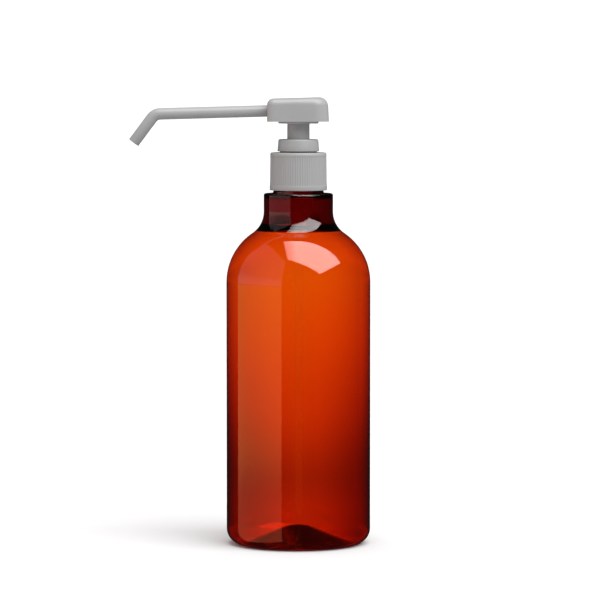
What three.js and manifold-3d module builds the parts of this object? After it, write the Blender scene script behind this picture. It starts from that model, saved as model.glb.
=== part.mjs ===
// Pump bottle: a one litre amber PET bottle with a long-nozzle lotion pump.
// Millimetres, +Z up. The nozzle points along -X. Each piece is made about the bottle's axis, and
// at the end the whole part is moved along X, so that the origin is the middle of its box, on the
// plane it stands on. The pump is shown at the top of its stroke, screwed tight.

import * as THREE from 'three';
import { mergeVertices } from 'three/addons/utils/BufferGeometryUtils.js';
import Module from 'manifold-3d';

const wasm = await Module();
wasm.setup();

// Bottle body
const bodyRadius = 43.5;
const straightTop = 158.6;
const domeRadius = 35.75;
const flareRadius = 10.3;
const bodyWall = 0.6;
const heelRadius = 9;
const footWidth = 3;
const pushUpRadius = 28;
const pushUpTopRadius = 6;
const pushUpHeight = 8.5;
const pushUpCrown = 0.7;
const footRise = 0.7;
const baseThickness = 2.8;
const baseEdgeThickness = 1.7;

// Bottle neck: a wide thick-walled section, its shelf, and the threaded finish above it
const neckRadius = 20.9;
const neckHeight = 14;
const neckWall = 3.5;
const shelfEdge = 1.2;
const shelfThickness = 3.7;
const roofRadius = 3;
const roofChamfer = 1.5;
const ledgeShare = 0.6;
const collarRadius = 15.3;
const collarHeight = 1.6;
const finishRadius = 12.65;
const finishHeight = 18.7;
const mouthRadius = 10.9;
const rimChamfer = 0.4;

// Screw closure
const threadRadius = 13.75;
const threadPlay = 0.3;
const closureWall = 3.1;
const closureDraft = 0.25;
const closureGap = 0.3;
const lidThickness = 1.6;
const lidEdge = 1;
const bandHeight = 3.1;
const bandProud = 0.15;
const plainTop = 2.2;
const topProud = 0.05;
const ribCount = 72;
const ribDepth = 0.35;
const ribSlope = 0.3;

// Sealing stack
const gasketThickness = 0.8;
const flangeThickness = 1.3;
const flangeRadius = 13.4;

// Chaplet, the collar that snaps on the housing and guides the stem
const chapletRadius = 12.6;
const chapletDraft = 0.6;
const chapletHeight = 7.2;
const chapletEdge = 1;
const chapletStep = 0.8;
const chapletNeckRadius = 11.15;
const chapletNeckWall = 1.35;
const chapletTopWall = 1.4;

// Pump housing
const collarRise = 6.5;
const collarWall = 1.1;
const upperBoreDepth = 2.2;
const cylinderBore = 7;
const cylinderWall = 1.2;
const valvePassage = 1.5;
const valveSeatRadius = 3.4;
const valveSeatDepth = 2.3;
const passageLength = 1.4;
const socketDepth = 8;
const socketWall = 1.6;
const ventRadius = 0.6;

// Moving parts of the pump
const stroke = 9.2;
const pistonHeight = 6;
const pistonHeadroom = 1;
const lipHeight = 1.4;
const lipWall = 0.8;
const waistDepth = 0.6;
const rodRadius = 3.6;
const rodBore = 1.8;
const rodFlangeRadius = 5.9;
const rodFlange = 1;
const rodSeatRim = 0.8;
const springWire = 0.9;
const springRadius = 5.2;
const springTurns = 8;
const springReserve = 4;
const deadTurns = 1;
const closedPitch = 1.1;
const inletBallRadius = 2.4;
const outletBallRadius = 2.2;
const ballLift = 0.8;
const cageRing = 1.6;
const cagePlay = 1;
const cageWall = 0.8;
const cageBar = 1.1;

// Stem
const stemRadius = 6.7;
const stemNoseRadius = 5.6;
const stemFlangeRadius = 8.2;
const stemFlange = 1;
const stemCover = 4;
const chamberRadius = 3;
const webThickness = 1.4;
const webHole = 1.5;
const webSlot = 1.1;
const stemInsertion = 5;

// Head
const headNose = 18.8;
const headTail = 18.4;
const headWidth = 26.5;
const headHeight = 14.3;
const headWall = 1.6;
const headEdge = 3.6;
const tailEdge = 5.3;
const noseCorner = 3.9;
const tailCorner = 8.8;
const crownSlope = 0.026;
const tailDraft = 0.052;
const bossRadius = 12.1;
const bossWall = 1.2;
const bossDrop = 1.2;
const stemSocketWall = 1.5;
const outletRise = 7.5;
const channelRadius = 2;

// Nozzle tube
const nozzleRadius = 3.475;
const nozzleBore = 2;
const nozzleReach = 86.4;
const nozzleDroop = THREE.MathUtils.degToRad(1.57);
const legAngle = THREE.MathUtils.degToRad(53.2);
const legLength = 21.5;
const nozzleBend = 6.5;

// Dip tube
const tubeRadius = 2.6;
const tubeBore = 1.9;
const tubeClearance = 3;
const tubeEndCut = THREE.MathUtils.degToRad(45);

// Clearances
const seat = 0.2;
const running = 0.3;

// How far a cutting shape reaches past what it cuts
const overcut = 1;

// Facet counts
const bottleSides = 44;
const collarSides = 40;
const innerSides = 24;
const tubeSides = 16;
const wireSides = 6;
const ventSides = 8;
const ballSides = 12;
const ballRings = 8;
const domeSteps = 7;
const heelSteps = 4;
const edgeSteps = 3;
const curveSteps = 2;
const bendSteps = 6;
const wireSteps = 12;

// Heights of the bottle, worked out from its arcs
const domeCentre = bodyRadius - domeRadius;
const flareCentreX = neckRadius + flareRadius;
const arcSpread = flareCentreX - domeCentre;
const arcRise = Math.sqrt((domeRadius + flareRadius) ** 2 - arcSpread ** 2);
const flareCentreZ = straightTop + arcRise;
const blendAngle = Math.atan2(arcRise, arcSpread);
const shelfTop = flareCentreZ + neckHeight;
const collarTop = shelfTop + collarHeight;
const rimTop = collarTop + finishHeight;
const baseTop = pushUpHeight + baseThickness;

// Heights of the sealing stack and of what stands on it
const gasketBottom = rimTop + seat;
const flangeBottom = gasketBottom + gasketThickness + seat;
const flangeTop = flangeBottom + flangeThickness;
const lidBottom = flangeTop + seat;
const closureTop = lidBottom + lidThickness;
const closureBottom = collarTop + closureGap;
const closureBore = threadRadius + threadPlay;
const closureRadius = closureBore + closureWall;
const chapletBottom = closureTop + chapletStep;
const chapletTop = chapletBottom + chapletHeight;
const chapletBore = chapletNeckRadius - chapletNeckWall;

// Housing sizes
const housingCollar = chapletBore - seat;
const upperBore = housingCollar - collarWall;
const cylinderTop = flangeBottom - upperBoreDepth;
const cylinderRadius = cylinderBore + cylinderWall;
const upperRadius = Math.min(upperBore + cylinderWall, mouthRadius - running);

// The stack inside the cylinder, from the piston down to the dip tube's socket
const pistonTop = cylinderTop - pistonHeadroom;
const pistonBottom = pistonTop - pistonHeight;
const rodBottom = pistonBottom - seat - rodFlange;
const springTop = rodBottom - seat;
const springLength = stroke + springTurns * springWire + springReserve;
const springBottom = springTop - springLength;
const cageBottom = springBottom - seat - cageRing;
const housingFloor = cageBottom - seat;
const seatBottom = housingFloor - valveSeatDepth;
const socketRoof = seatBottom - passageLength;
const housingBottom = socketRoof - socketDepth;
const socketBore = tubeRadius + seat;
const socketRadius = socketBore + socketWall;

// The inlet ball lies in the cone of the valve seat
const seatAngle = Math.atan2(valveSeatRadius - valvePassage, valveSeatDepth);
const seatApex = seatBottom - valvePassage / Math.tan(seatAngle);
const inletBallHeight = seatApex + (inletBallRadius + seat) / Math.sin(seatAngle);
const cageBore = inletBallRadius + cagePlay;
const cageRoof = inletBallHeight + inletBallRadius + ballLift;

// Stem and head heights
const stemFlangeTop = chapletTop - chapletTopWall - running;
const stemShoulder = stemFlangeTop - stemFlange - stemCover;
const bossBottom = chapletTop + stroke + running;
const headBottom = bossBottom + bossDrop;
const stemTop = bossBottom + stemInsertion;
const rodTop = chapletTop;
const outletLevel = bossBottom + outletRise;
const stemSocketRadius = stemRadius + seat + stemSocketWall;
const nozzleInnerEnd = -stemSocketRadius - seat;

// The outlet ball lies in a cone turned into the rod's top
const rodSeatRadius = rodRadius - rodSeatRim;
const rodSeatDepth = (rodSeatRadius - rodBore) / Math.tan(seatAngle);
const rodSeatApex = rodTop - rodSeatRadius / Math.tan(seatAngle);
const outletBallHeight = rodSeatApex + (outletBallRadius + seat) / Math.sin(seatAngle);
const webBottom = outletBallHeight + outletBallRadius + ballLift;

const pet = new THREE.MeshStandardMaterial({
  color: 0xb53c08, roughness: 0.06, metalness: 0, transparent: true, opacity: 0.6,
});
const greyPlastic = new THREE.MeshStandardMaterial({ color: 0xa6a6a6, roughness: 0.42, metalness: 0 });
const naturalPlastic = new THREE.MeshStandardMaterial({ color: 0xe4e4de, roughness: 0.5, metalness: 0 });
const sealPlastic = new THREE.MeshStandardMaterial({ color: 0xd2d4d0, roughness: 0.6, metalness: 0 });
const steel = new THREE.MeshStandardMaterial({ color: 0xb9bcc0, roughness: 0.25, metalness: 1 });

const part = new THREE.Group();

// Turns a closed three.js geometry into a solid that can be joined and cut.
function toSolid(geometry) {
  geometry.deleteAttribute('normal');
  geometry.deleteAttribute('uv');
  const welded = mergeVertices(geometry, 1e-4);
  const index = welded.index.array;
  const corners = [];
  for (let i = 0; i < index.length; i += 3) {
    const [a, b, c] = index.slice(i, i + 3);
    if (a !== b && b !== c && c !== a) {
      corners.push(a, b, c);
    }
  }
  const vertProperties = Float32Array.from(welded.attributes.position.array);
  const triVerts = Uint32Array.from(corners);
  return new wasm.Manifold(new wasm.Mesh({ numProp: 3, vertProperties, triVerts }));
}

// Adds a solid to the part as a named mesh.
function addPiece(name, solid, material) {
  const mesh = solid.getMesh();
  const geometry = new THREE.BufferGeometry();
  geometry.setAttribute('position', new THREE.BufferAttribute(mesh.vertProperties, 3));
  geometry.setIndex(new THREE.BufferAttribute(mesh.triVerts, 1));
  geometry.computeVertexNormals();
  const piece = new THREE.Mesh(geometry, material);
  piece.name = name;
  part.add(piece);
}

// Points of an arc in the profile plane, both ends included. Angles are in degrees.
function arc(centreX, centreZ, radius, from, to, steps) {
  const points = [];
  for (let i = 0; i <= steps; i += 1) {
    const angle = THREE.MathUtils.degToRad(from + ((to - from) * i) / steps);
    points.push([centreX + radius * Math.cos(angle), centreZ + radius * Math.sin(angle)]);
  }
  return points;
}

// Revolves a profile of [radius, height] points, listed anticlockwise, about Z.
function revolve(profile, sides) {
  const points = profile.map(([radius, height]) => new THREE.Vector2(radius, height));
  return toSolid(new THREE.LatheGeometry(points, sides).rotateX(Math.PI / 2));
}

// Revolves a profile that doesn't reach the axis, closed from its last point to its first.
function revolveRing(profile, sides) {
  return revolve([...profile, profile[0]], sides);
}

// A plain round bar or bore about Z.
function roundBar(radius, bottom, top, sides) {
  return revolve([[0, bottom], [radius, bottom], [radius, top], [0, top]], sides);
}

// A plain ring about Z.
function ring(inner, outer, bottom, top, sides) {
  return revolveRing([[inner, bottom], [outer, bottom], [outer, top], [inner, top]], sides);
}

// A box centred on X and Y.
function block(length, width, bottom, top) {
  return toSolid(new THREE.BoxGeometry(length, width, top - bottom).translate(0, 0, (top + bottom) / 2));
}

function ball(radius, height) {
  const turned = new THREE.SphereGeometry(radius, ballSides, ballRings).rotateX(Math.PI / 2);
  return toSolid(turned.translate(0, 0, height));
}

// One closed profile: the outside from the base's centre up to the rim, then down the inside.
function makeBottle() {
  const blend = THREE.MathUtils.radToDeg(blendAngle);
  const footOuter = bodyRadius - heelRadius;
  const footInner = footOuter - footWidth;
  const innerNeck = neckRadius - neckWall;
  const roofHeight = shelfTop - shelfThickness;
  const outside = [
    [0, pushUpHeight],
    [pushUpTopRadius, pushUpHeight - pushUpCrown],
    [pushUpRadius, footRise],
    [footInner, 0],
    ...arc(footOuter, heelRadius, heelRadius, -90, 0, heelSteps),
    ...arc(domeCentre, straightTop, domeRadius, 0, blend, domeSteps),
    ...arc(flareCentreX, flareCentreZ, flareRadius, 180 + blend, 180, heelSteps).slice(1),
    ...arc(neckRadius - shelfEdge, shelfTop - shelfEdge, shelfEdge, 0, 90, curveSteps),
  ];
  const finish = [
    [collarRadius, shelfTop],
    [collarRadius, collarTop],
    [finishRadius, collarTop],
    [finishRadius, rimTop - rimChamfer],
    [finishRadius - rimChamfer, rimTop],
    [mouthRadius + rimChamfer, rimTop],
    [mouthRadius, rimTop - rimChamfer],
    [mouthRadius, roofHeight + roofChamfer],
  ];
  const innerDome = domeRadius - bodyWall;
  const innerBlend = blend - THREE.MathUtils.radToDeg(bodyWall / domeRadius);
  const ledgeEnd = 180 + blend * ledgeShare;
  const inside = [
    ...arc(innerNeck - roofRadius, roofHeight - roofRadius, roofRadius, 90, 0, curveSteps),
    ...arc(flareCentreX, flareCentreZ, flareRadius + neckWall, 180, ledgeEnd, curveSteps),
    ...arc(domeCentre, straightTop, innerDome, innerBlend, 0, domeSteps - 2),
    ...arc(footOuter, heelRadius, heelRadius - bodyWall, 0, -90, heelSteps - 1),
    [pushUpRadius, footRise + baseEdgeThickness],
    [pushUpTopRadius, baseTop - pushUpCrown],
    [0, baseTop],
  ];
  return revolve([...outside, ...finish, ...inside], bottleSides);
}

// The ribbed outline of the closure, with a plain hole inside its wall.
function ribOutline(crest, root, hole) {
  const outline = new THREE.Shape();
  const pitch = (2 * Math.PI) / ribCount;
  const corners = [[root, 0], [crest, ribSlope], [crest, 1 - ribSlope]];
  for (let rib = 0; rib < ribCount; rib += 1) {
    for (const [radius, share] of corners) {
      const angle = (rib + share) * pitch;
      const x = radius * Math.cos(angle);
      const y = radius * Math.sin(angle);
      if (rib === 0 && share === 0) {
        outline.moveTo(x, y);
      } else {
        outline.lineTo(x, y);
      }
    }
  }
  outline.closePath();
  const inner = new THREE.Path();
  inner.absarc(0, 0, hole, 0, 2 * Math.PI, true);
  outline.holes.push(inner);
  return outline;
}

// Leans the walls of a geometry in towards the axis by the closure's draft.
function draftClosure(geometry, bottom) {
  const position = geometry.attributes.position;
  for (let i = 0; i < position.count; i += 1) {
    const rise = (position.getZ(i) - bottom) / (closureTop - closureBottom);
    const scale = 1 - (closureDraft * rise) / closureRadius;
    position.setX(i, position.getX(i) * scale);
    position.setY(i, position.getY(i) * scale);
  }
  return geometry;
}

// A cup with a plain lower band and a plain top edge, waisted between them to carry the ribs.
function makeClosure() {
  const ribBottom = closureBottom + bandHeight;
  const ribTop = closureTop - plainTop;
  const root = closureRadius - ribDepth;
  const waist = root - ribDepth;
  const bandRadius = closureRadius + bandProud;
  const topRadius = closureRadius - closureDraft + topProud;
  const lidHole = chapletNeckRadius + running;
  const cup = revolveRing([
    [closureBore, closureBottom],
    [bandRadius, closureBottom],
    [bandRadius, ribBottom],
    [waist, ribBottom],
    [waist, ribTop],
    [topRadius, ribTop],
    ...arc(topRadius - lidEdge, closureTop - lidEdge, lidEdge, 0, 90, edgeSteps),
    [lidHole, closureTop],
    [lidHole, lidBottom],
    [closureBore, lidBottom],
  ], collarSides);
  const outline = ribOutline(closureRadius, root, waist - ribDepth);
  const ribs = new THREE.ExtrudeGeometry(outline, {
    depth: ribTop - ribBottom + 2 * ribDepth,
    bevelEnabled: false,
    curveSegments: collarSides / 2,
  });
  ribs.translate(0, 0, ribBottom - ribDepth);
  return cup.add(toSolid(draftClosure(ribs, closureBottom)));
}

function makeGasket() {
  return ring(upperRadius + seat, flangeRadius, gasketBottom, gasketBottom + gasketThickness, innerSides);
}

function makeChaplet() {
  const guide = stemRadius + running;
  const topRadius = chapletRadius - chapletDraft;
  return revolveRing([
    [chapletBore, flangeTop + seat],
    [chapletNeckRadius, flangeTop + seat],
    [chapletNeckRadius, chapletBottom],
    [chapletRadius, chapletBottom],
    ...arc(topRadius - chapletEdge, chapletTop - chapletEdge, chapletEdge, 0, 90, edgeSteps),
    [guide, chapletTop],
    [guide, chapletTop - chapletTopWall],
    [chapletBore, chapletTop - chapletTopWall],
  ], collarSides);
}

// The pump cylinder with its sealing flange, valve seat and dip tube socket. Air gets into the
// bottle by a small vent in its wall, which the piston's lips close while the pump is at rest.
function makeHousing() {
  const vent = new THREE.CylinderGeometry(ventRadius, ventRadius, cylinderWall + 2 * overcut, ventSides);
  vent.translate(0, cylinderBore + cylinderWall / 2, (pistonTop + pistonBottom) / 2);
  const body = revolveRing([
    [socketBore, housingBottom],
    [socketRadius, housingBottom],
    [socketRadius, socketRoof],
    [cylinderRadius, seatBottom + (cylinderRadius - socketRadius) / 2],
    [cylinderRadius, cylinderTop - cylinderWall],
    [upperRadius, cylinderTop],
    [upperRadius, flangeBottom],
    [flangeRadius, flangeBottom],
    [flangeRadius, flangeTop],
    [housingCollar, flangeTop],
    [housingCollar, flangeTop + collarRise],
    [upperBore, flangeTop + collarRise],
    [upperBore, cylinderTop],
    [cylinderBore, cylinderTop - (upperBore - cylinderBore) / 2],
    [cylinderBore, housingFloor],
    [valveSeatRadius, housingFloor],
    [valvePassage, seatBottom],
    [valvePassage, socketRoof],
    [socketBore, socketRoof],
  ], innerSides);
  return body.subtract(toSolid(vent));
}

// A ring that carries the spring, with a cup and two crossed bars over the inlet ball.
function makeBallCage() {
  const cupTop = cageRoof + cageBar;
  const cup = revolveRing([
    [cageBore, cageBottom],
    [cylinderBore - seat, cageBottom],
    [cylinderBore - seat, cageBottom + cageRing],
    [cageBore + cageWall, cageBottom + cageRing],
    [cageBore + cageWall, cupTop],
    [cageBore, cupTop],
  ], innerSides);
  const reach = 2 * cageBore + cageWall;
  const bars = block(reach, cageBar, cageRoof, cupTop).add(block(cageBar, reach, cageRoof, cupTop));
  return cup.add(bars);
}

// A helix with closed turns at both ends. Its steps follow the angle.
class SpringPath extends THREE.Curve {
  getPoint(t, target = new THREE.Vector3()) {
    const turn = t * springTurns;
    const closedRise = deadTurns * springWire * closedPitch;
    const rise = springLength - springWire;
    const active = (rise - 2 * closedRise) / (springTurns - 2 * deadTurns);
    let height = closedRise + (turn - deadTurns) * active;
    if (turn < deadTurns) {
      height = (closedRise * turn) / deadTurns;
    } else if (turn > springTurns - deadTurns) {
      height = rise - (closedRise * (springTurns - turn)) / deadTurns;
    }
    const angle = turn * 2 * Math.PI;
    const z = springBottom + springWire / 2 + height;
    return target.set(springRadius * Math.cos(angle), springRadius * Math.sin(angle), z);
  }

  getUtoTmapping(u) {
    return u;
  }
}

function makeSpring() {
  const wire = new THREE.Shape();
  wire.absarc(0, 0, springWire / 2, 0, 2 * Math.PI, false);
  return toSolid(new THREE.ExtrudeGeometry(wire, {
    steps: springTurns * wireSteps,
    curveSegments: wireSides / 2,
    bevelEnabled: false,
    extrudePath: new SpringPath(),
  }));
}

// A soft sleeve with a sealing lip at each end, held between the rod's flange and the stem.
function makePiston() {
  const lip = cylinderBore - seat;
  const waist = lip - waistDepth;
  const bore = rodRadius + seat;
  const groove = lip - lipWall;
  return revolveRing([
    [bore, pistonBottom],
    [groove - lipWall, pistonBottom],
    [groove, pistonBottom + lipHeight / 2],
    [lip, pistonBottom],
    [lip, pistonBottom + lipHeight],
    [waist, pistonBottom + lipHeight + waistDepth],
    [waist, pistonTop - lipHeight - waistDepth],
    [lip, pistonTop - lipHeight],
    [lip, pistonTop],
    [groove, pistonTop - lipHeight / 2],
    [groove - lipWall, pistonTop],
    [bore, pistonTop],
  ], innerSides);
}

// The hollow rod that carries the piston. Its top is the outlet ball's seat.
function makePistonRod() {
  return revolveRing([
    [rodBore, rodBottom],
    [rodFlangeRadius, rodBottom],
    [rodFlangeRadius, rodBottom + rodFlange],
    [rodRadius, rodBottom + rodFlange],
    [rodRadius, rodTop],
    [rodSeatRadius, rodTop],
    [rodBore, rodTop - rodSeatDepth],
  ], innerSides);
}

// The stem presses on the rod, keeps the piston down and carries the head.
function makeStem() {
  const bore = rodRadius + seat;
  const body = revolveRing([
    [bore, pistonTop + seat],
    [stemNoseRadius, pistonTop + seat],
    [stemNoseRadius, stemShoulder],
    [stemRadius, stemShoulder],
    [stemRadius, stemFlangeTop - stemFlange],
    [stemFlangeRadius, stemFlangeTop - stemFlange],
    [stemFlangeRadius, stemFlangeTop],
    [stemRadius, stemFlangeTop],
    [stemRadius, stemTop],
    [chamberRadius, stemTop],
    [chamberRadius, webBottom + webThickness],
    [webHole, webBottom + webThickness],
    [webHole, webBottom],
    [chamberRadius, webBottom],
    [chamberRadius, rodTop + seat],
    [bore, rodTop + seat],
  ], innerSides);
  const slotBottom = webBottom - seat;
  const slotTop = webBottom + webThickness + seat;
  const slotLength = 2 * chamberRadius - webSlot;
  const lengthwise = block(slotLength, webSlot, slotBottom, slotTop);
  const crosswise = block(webSlot, slotLength, slotBottom, slotTop);
  return body.subtract(lengthwise.add(crosswise));
}

// The head seen from above: a rectangle with small corners at the nose and large ones at the tail.
function headPlan(inset) {
  const nose = -headNose + inset;
  const tail = headTail - inset;
  const side = headWidth / 2 - inset;
  const small = noseCorner - inset;
  const large = tailCorner - inset;
  const quarter = Math.PI / 2;
  const plan = new THREE.Shape();
  plan.absarc(tail - large, side - large, large, 0, quarter, false);
  plan.absarc(nose + small, side - small, small, quarter, 2 * quarter, false);
  plan.absarc(nose + small, small - side, small, 2 * quarter, 3 * quarter, false);
  plan.absarc(tail - large, large - side, large, 3 * quarter, 4 * quarter, false);
  return plan;
}

// The head's outer form or its hollow: an extrusion with a rounded crown that slopes to the nose.
// Its top edge is rounded more towards the tail, which also leans in.
function headForm(inset, top) {
  const edge = headEdge - inset;
  const tailRatio = (tailEdge - inset) / edge;
  const bottom = bossBottom - 2 * headEdge;
  const form = new THREE.ExtrudeGeometry(headPlan(inset), {
    depth: top - bottom - edge,
    steps: 1,
    curveSegments: edgeSteps,
    bevelEnabled: true,
    bevelThickness: edge,
    bevelSize: edge,
    bevelOffset: -edge,
    bevelSegments: edgeSteps,
  });
  form.translate(0, 0, bottom);
  const position = form.attributes.position;
  for (let i = 0; i < position.count; i += 1) {
    const x = position.getX(i);
    const z = position.getZ(i);
    const tailShare = Math.max(x, 0) / headTail;
    const swell = z > headBottom ? (tailRatio - 1) * tailShare : 0;
    const rise = Math.min(1, Math.max(0, 1 - (top - z) / edge));
    const drawnIn = edge * (1 - Math.sqrt(1 - rise ** 2)) * swell;
    const lean = tailDraft * (z - headBottom) * tailShare;
    position.setX(i, x - drawnIn - lean);
    position.setZ(i, z - (top - z) * swell + crownSlope * (x - headTail / 2));
  }
  return toSolid(form);
}

// The nozzle's centre line: straight out of the head, one bend, then a short leg.
class NozzlePath extends THREE.Curve {
  constructor() {
    super();
    this.start = new THREE.Vector3(nozzleInnerEnd, 0, nozzleHeightAt(nozzleInnerEnd));
    this.corner = new THREE.Vector3(-nozzleReach, 0, nozzleHeightAt(-nozzleReach));
    const turn = legAngle - nozzleDroop;
    this.setback = nozzleBend * Math.tan(turn / 2);
    this.outward = new THREE.Vector3(-Math.cos(nozzleDroop), 0, -Math.sin(nozzleDroop));
    this.downward = new THREE.Vector3(-Math.cos(legAngle), 0, -Math.sin(legAngle));
    this.end = this.corner.clone().addScaledVector(this.downward, legLength);
    this.bendStart = this.corner.clone().addScaledVector(this.outward, -this.setback);
    const inward = new THREE.Vector3(-this.outward.z, 0, this.outward.x);
    this.centre = this.bendStart.clone().addScaledVector(inward, nozzleBend);
    this.bendEnd = this.corner.clone().addScaledVector(this.downward, this.setback);
  }

  getPoint(t, target = new THREE.Vector3()) {
    const station = t * (bendSteps + 2);
    if (station <= 1) {
      return target.lerpVectors(this.start, this.bendStart, station);
    }
    if (station >= bendSteps + 1) {
      return target.lerpVectors(this.bendEnd, this.end, station - bendSteps - 1);
    }
    const angle = nozzleDroop + ((legAngle - nozzleDroop) * (station - 1)) / bendSteps;
    target.set(-Math.sin(angle), 0, Math.cos(angle));
    return target.multiplyScalar(nozzleBend).add(this.centre);
  }

  getUtoTmapping(u) {
    return u;
  }
}

function nozzleHeightAt(x) {
  return outletLevel + (x + headNose) * Math.tan(nozzleDroop);
}

// The long tube, from inside the head to the end of its leg.
function makeNozzle() {
  const section = new THREE.Shape();
  section.absarc(0, 0, nozzleRadius, 0, 2 * Math.PI, false);
  const bore = new THREE.Path();
  bore.absarc(0, 0, nozzleBore, 0, 2 * Math.PI, true);
  section.holes.push(bore);
  return toSolid(new THREE.ExtrudeGeometry(section, {
    steps: bendSteps + 2,
    curveSegments: tubeSides / 2,
    bevelEnabled: false,
    extrudePath: new NozzlePath(),
  }));
}

// A short straight bar along the first stretch of the nozzle's line.
function outletBar(radius, from, to) {
  const length = from - to;
  const bar = new THREE.CylinderGeometry(radius, radius, length, tubeSides);
  bar.rotateZ(Math.PI / 2);
  bar.rotateY(-nozzleDroop);
  bar.translate((from + to) / 2, 0, nozzleHeightAt((from + to) / 2));
  return toSolid(bar);
}

function makeHead() {
  const crown = headBottom + headHeight;
  const uncut = headForm(0, crown);
  const wide = 2 * (headNose + headTail);
  const slab = block(wide, wide, headBottom, crown + headHeight);
  const shell = uncut.intersect(slab).subtract(headForm(headWall, crown - headWall));
  const skirt = ring(bossRadius - bossWall, bossRadius, bossBottom, crown, collarSides);
  const socket = roundBar(stemSocketRadius, bossBottom + bossDrop / 2, crown, innerSides);
  const noseBoss = outletBar(nozzleRadius + seat + headWall, 0, -headNose);
  const inner = skirt.add(socket).add(noseBoss).intersect(uncut);
  const stemBore = roundBar(stemRadius + seat, bossBottom - overcut, stemTop + seat, innerSides);
  const chamberTop = outletLevel + channelRadius + headWall;
  const chamber = roundBar(chamberRadius, stemTop - overcut, chamberTop, tubeSides);
  const channel = outletBar(channelRadius, 0, nozzleInnerEnd - overcut);
  const nozzleHole = outletBar(nozzleRadius + seat, nozzleInnerEnd + seat, -headNose - headWall);
  return shell.add(inner).subtract(stemBore).subtract(chamber).subtract(channel).subtract(nozzleHole);
}

function makeDipTube() {
  const tubeTop = socketRoof - seat;
  const tubeEnd = baseTop + tubeClearance;
  const tube = ring(tubeBore, tubeRadius, tubeEnd, tubeTop, tubeSides);
  const size = 8 * tubeRadius;
  const cutter = new THREE.BoxGeometry(size, size, size);
  cutter.translate(0, 0, -size / 2);
  cutter.rotateY(tubeEndCut);
  cutter.translate(0, 0, tubeEnd + tubeRadius * Math.tan(tubeEndCut));
  return tube.subtract(toSolid(cutter));
}

addPiece('bottle', makeBottle(), pet);
addPiece('screw_closure', makeClosure(), greyPlastic);
addPiece('neck_gasket', makeGasket(), sealPlastic);
addPiece('chaplet', makeChaplet(), greyPlastic);
addPiece('pump_housing', makeHousing(), naturalPlastic);
addPiece('ball_cage', makeBallCage(), naturalPlastic);
addPiece('inlet_ball', ball(inletBallRadius, inletBallHeight), steel);
addPiece('return_spring', makeSpring(), steel);
addPiece('piston', makePiston(), sealPlastic);
addPiece('piston_rod', makePistonRod(), naturalPlastic);
addPiece('outlet_ball', ball(outletBallRadius, outletBallHeight), steel);
addPiece('stem', makeStem(), greyPlastic);
addPiece('pump_head', makeHead(), greyPlastic);
addPiece('nozzle_tube', makeNozzle(), greyPlastic);
addPiece('dip_tube', makeDipTube(), naturalPlastic);

const extent = new THREE.Box3().setFromObject(part);
part.position.x = -(extent.min.x + extent.max.x) / 2;

export default part;
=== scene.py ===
"""Dresses the CAD model of a pump bottle: clear amber bottle, ribbed closure, stem, head, nozzle and stage.

Sizes are in metres in the frame of the CAD model. The bottle's axis is a vertical line to the +X side
of the origin, and the nozzle points along -X.
"""

import math

import bmesh
import bpy
from mathutils import Matrix, Vector


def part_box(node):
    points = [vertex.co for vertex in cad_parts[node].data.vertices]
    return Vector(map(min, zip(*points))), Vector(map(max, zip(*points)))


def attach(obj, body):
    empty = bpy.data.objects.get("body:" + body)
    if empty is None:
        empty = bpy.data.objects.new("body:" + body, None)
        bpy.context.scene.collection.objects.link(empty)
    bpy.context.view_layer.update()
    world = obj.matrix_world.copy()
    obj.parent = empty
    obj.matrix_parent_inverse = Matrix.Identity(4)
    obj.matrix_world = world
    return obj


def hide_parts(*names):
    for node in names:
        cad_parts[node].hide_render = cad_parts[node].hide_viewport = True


bl_info = {
    "name": "Pump Bottle",
    "version": (1, 0, 0),
    "blender": (4, 5, 0),
    "location": "3D View > Sidebar > Pump Bottle",
    "description": "Makes the visible pieces, materials and stage of a pump bottle",
    "category": "Object",
}

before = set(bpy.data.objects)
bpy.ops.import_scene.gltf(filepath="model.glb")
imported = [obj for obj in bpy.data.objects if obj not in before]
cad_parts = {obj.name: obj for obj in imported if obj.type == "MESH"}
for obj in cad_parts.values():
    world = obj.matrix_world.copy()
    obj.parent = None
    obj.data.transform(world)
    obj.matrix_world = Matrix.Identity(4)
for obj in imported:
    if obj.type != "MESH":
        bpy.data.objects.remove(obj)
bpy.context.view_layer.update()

MM = 0.001
PHOTO_SIZE = 600
SENSOR_WIDTH = 36.0
FINISH_RADIUS = 12.65 * MM


def node_heights(name):
    """The lowest and highest Z of a CAD node."""
    low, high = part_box(name)
    return low.z, high.z


def find_axis():
    """The X of the line that the bottle and its pump are turned about."""
    low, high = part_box("bottle")
    return (low.x + high.x) / 2


AXIS_X = find_axis()


# Sizes and colours a user may change


def length(name, description, default):
    """A property that holds a length."""
    return bpy.props.FloatProperty(name=name, description=description, default=default, unit="LENGTH")


def tilt(name, description, degrees):
    """A property that holds an angle below the level."""
    default = math.radians(degrees)
    return bpy.props.FloatProperty(name=name, description=description, default=default, subtype="ANGLE")


def colour(name, description, default):
    """A property that holds a colour."""
    settings = {"name": name, "description": description, "default": default}
    return bpy.props.FloatVectorProperty(subtype="COLOR", **settings)


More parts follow.
